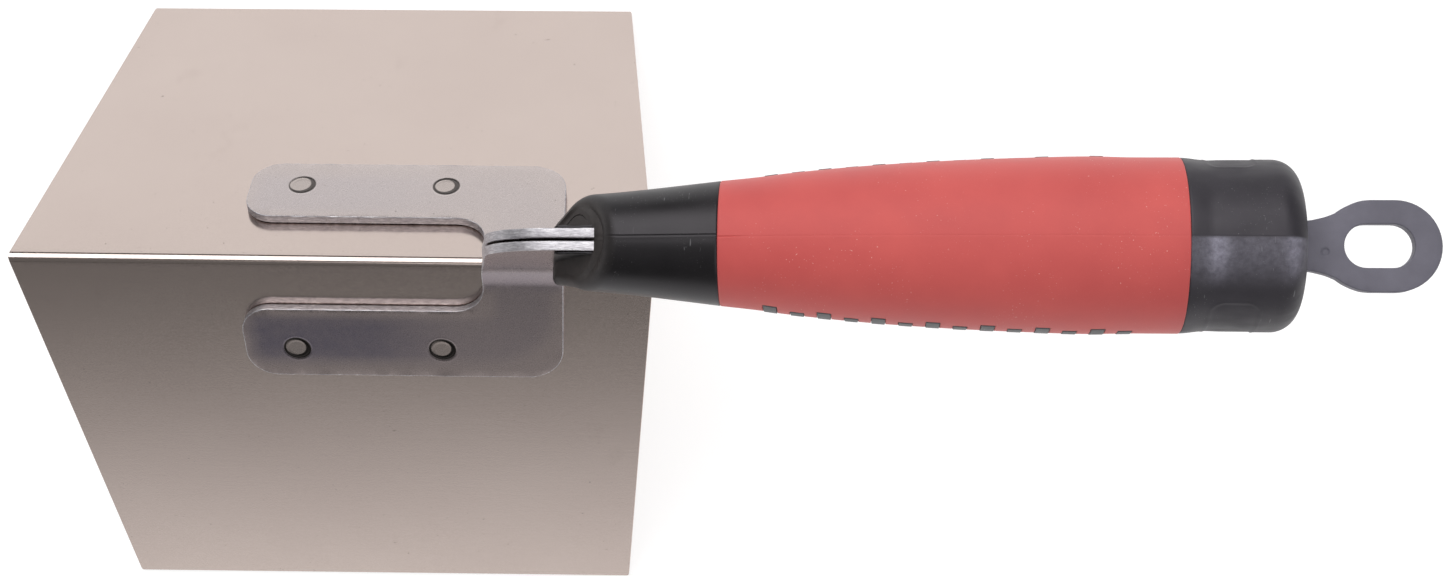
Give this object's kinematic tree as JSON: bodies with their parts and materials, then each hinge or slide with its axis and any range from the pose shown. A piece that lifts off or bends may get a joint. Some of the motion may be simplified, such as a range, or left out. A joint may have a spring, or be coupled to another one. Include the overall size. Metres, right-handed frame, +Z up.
{
  "type": "outside corner trowel",
  "caption": "Hand trowel with a blade folded to a right angle for finishing outside corners, a welded bracket, a soft grip handle and a hang tab.",
  "frame": {"origin": "under the middle of the part, on the plane of the two leaf edges that it stands on", "axes": "+X runs back along the fold from the blade's front edge to the hang tab, +Y across to the left leaf, +Z up from the leaf edges to the handle"},
  "size_m": [0.2673, 0.1258, 0.1167],
  "materials": {
    "blade": "fine satin stainless sheet",
    "bracket": "bare satin plate with stamped edges",
    "weld": "fused nugget",
    "core": "moulded, satin",
    "grip": "soft moulded sleeve, matte",
    "cap": "moulded, satin",
    "tab": "moulded, matte"
  },
  "bodies": {
    "root": {"blade": "blade", "bracket_left": "bracket", "bracket_right": "bracket", "leaf_welds": "weld", "tang_welds": "weld", "handle_core": "core", "grip_sleeve": "grip", "end_cap": "cap", "hang_tab": "tab"}
  },
  "joints": []
}
